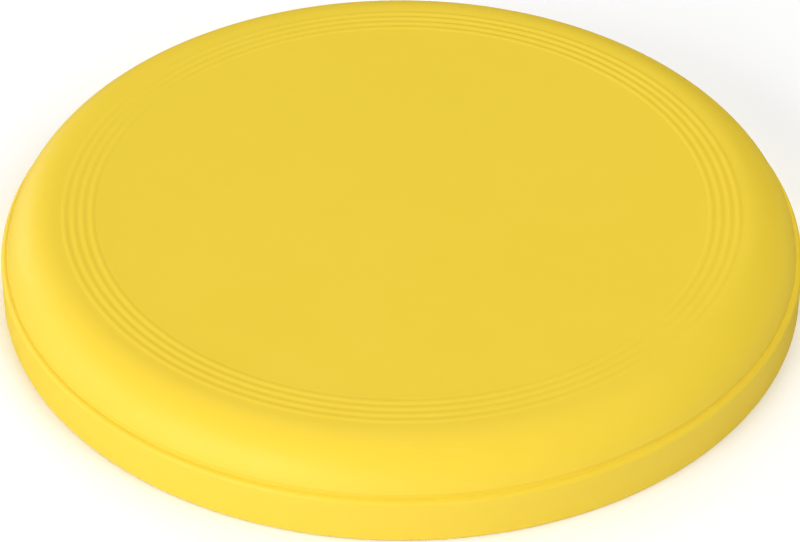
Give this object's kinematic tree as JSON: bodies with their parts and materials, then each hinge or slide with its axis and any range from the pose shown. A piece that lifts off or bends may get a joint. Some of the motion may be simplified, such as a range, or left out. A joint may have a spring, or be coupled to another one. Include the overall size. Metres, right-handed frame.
{
  "type": "flying disc",
  "caption": "Round throwing disc with a flat plate, raised concentric rings, a rounded shoulder and a stepped rim, hollow underneath, moulded in one piece.",
  "frame": {"origin": "on the disc's axis, in the plane of the rim's foot", "axes": "+Z is the disc's axis, up through the plate; +X and +Y lie in the plane of the rim's foot, and the disc looks the same from every side"},
  "size_m": [0.23, 0.23, 0.0265],
  "materials": {
    "disc_plastic": "yellow, satin moulded skin"
  },
  "bodies": {
    "root": {"disc": "disc_plastic"}
  },
  "joints": []
}
